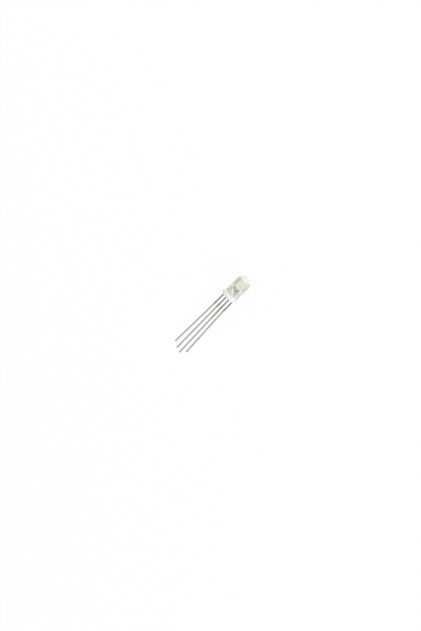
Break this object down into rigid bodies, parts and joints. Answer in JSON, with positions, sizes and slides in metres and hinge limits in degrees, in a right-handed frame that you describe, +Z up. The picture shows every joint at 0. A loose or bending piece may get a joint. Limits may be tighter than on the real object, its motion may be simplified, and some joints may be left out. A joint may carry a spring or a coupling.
{
  "type": "through-hole LED",
  "caption": "Clear round-domed through-hole light-emitting diode with a flanged base and a row of leads, lying on its side.",
  "frame": {"origin": "on the surface that the LED lies on, under the centre of its outline", "axes": "+X towards the domed end, level; +Z up; the row of leads spreads along Y, with the flange's flat towards -Y. The LED's own axis rises 6.5 degrees from +X, because the flange lifts its body while the lead tips lie on the surface"},
  "size_m": [0.033, 0.006, 0.0062],
  "materials": {
    "clear_resin": "gloss",
    "plated_steel": "satin",
    "dark_chip": "gloss",
    "clear_chip": "gloss",
    "silver_paste": "matte",
    "gold_wire": "polished"
  },
  "bodies": {
    "root": {"lens": "clear_resin", "common_lead": "plated_steel", "red_lead": "plated_steel", "green_lead": "plated_steel", "blue_lead": "plated_steel", "red_die": "dark_chip", "green_die": "clear_chip", "blue_die": "clear_chip", "red_paste": "silver_paste", "green_paste": "silver_paste", "blue_paste": "silver_paste", "red_wire": "gold_wire", "green_wire": "gold_wire", "blue_wire": "gold_wire", "green_return_wire": "gold_wire", "blue_return_wire": "gold_wire"}
  },
  "joints": []
}
